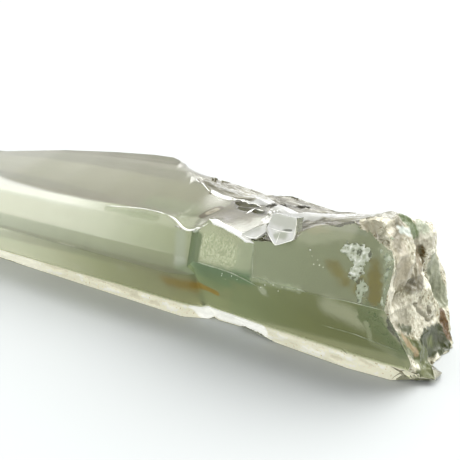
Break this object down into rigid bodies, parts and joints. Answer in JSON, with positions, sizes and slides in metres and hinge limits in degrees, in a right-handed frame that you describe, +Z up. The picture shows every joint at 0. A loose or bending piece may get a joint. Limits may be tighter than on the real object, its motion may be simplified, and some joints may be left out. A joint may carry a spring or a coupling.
{
  "type": "chlorite quartz crystal",
  "caption": "Loose quartz crystal tinted green by chlorite, lying on a prism face, with a natural point and a rough broken base.",
  "frame": {"origin": "centre of the overall box in plan, at the height of the flat prism face that the crystal rests on", "axes": "+X along the crystal from the natural point to the broken end, +Z up from the resting face, +Y away from the steep front faces"},
  "size_m": [0.1264, 0.0274, 0.0217],
  "materials": {
    "green_quartz": "clear to milky green quartz with smooth prism faces",
    "quartz_crust": "rough whitish and brown stained crust on the broken end",
    "chlorite": "dull green chlorite wisps and ochre stain inside the quartz"
  },
  "bodies": {
    "root": {"crystal": "green_quartz"}
  },
  "joints": []
}
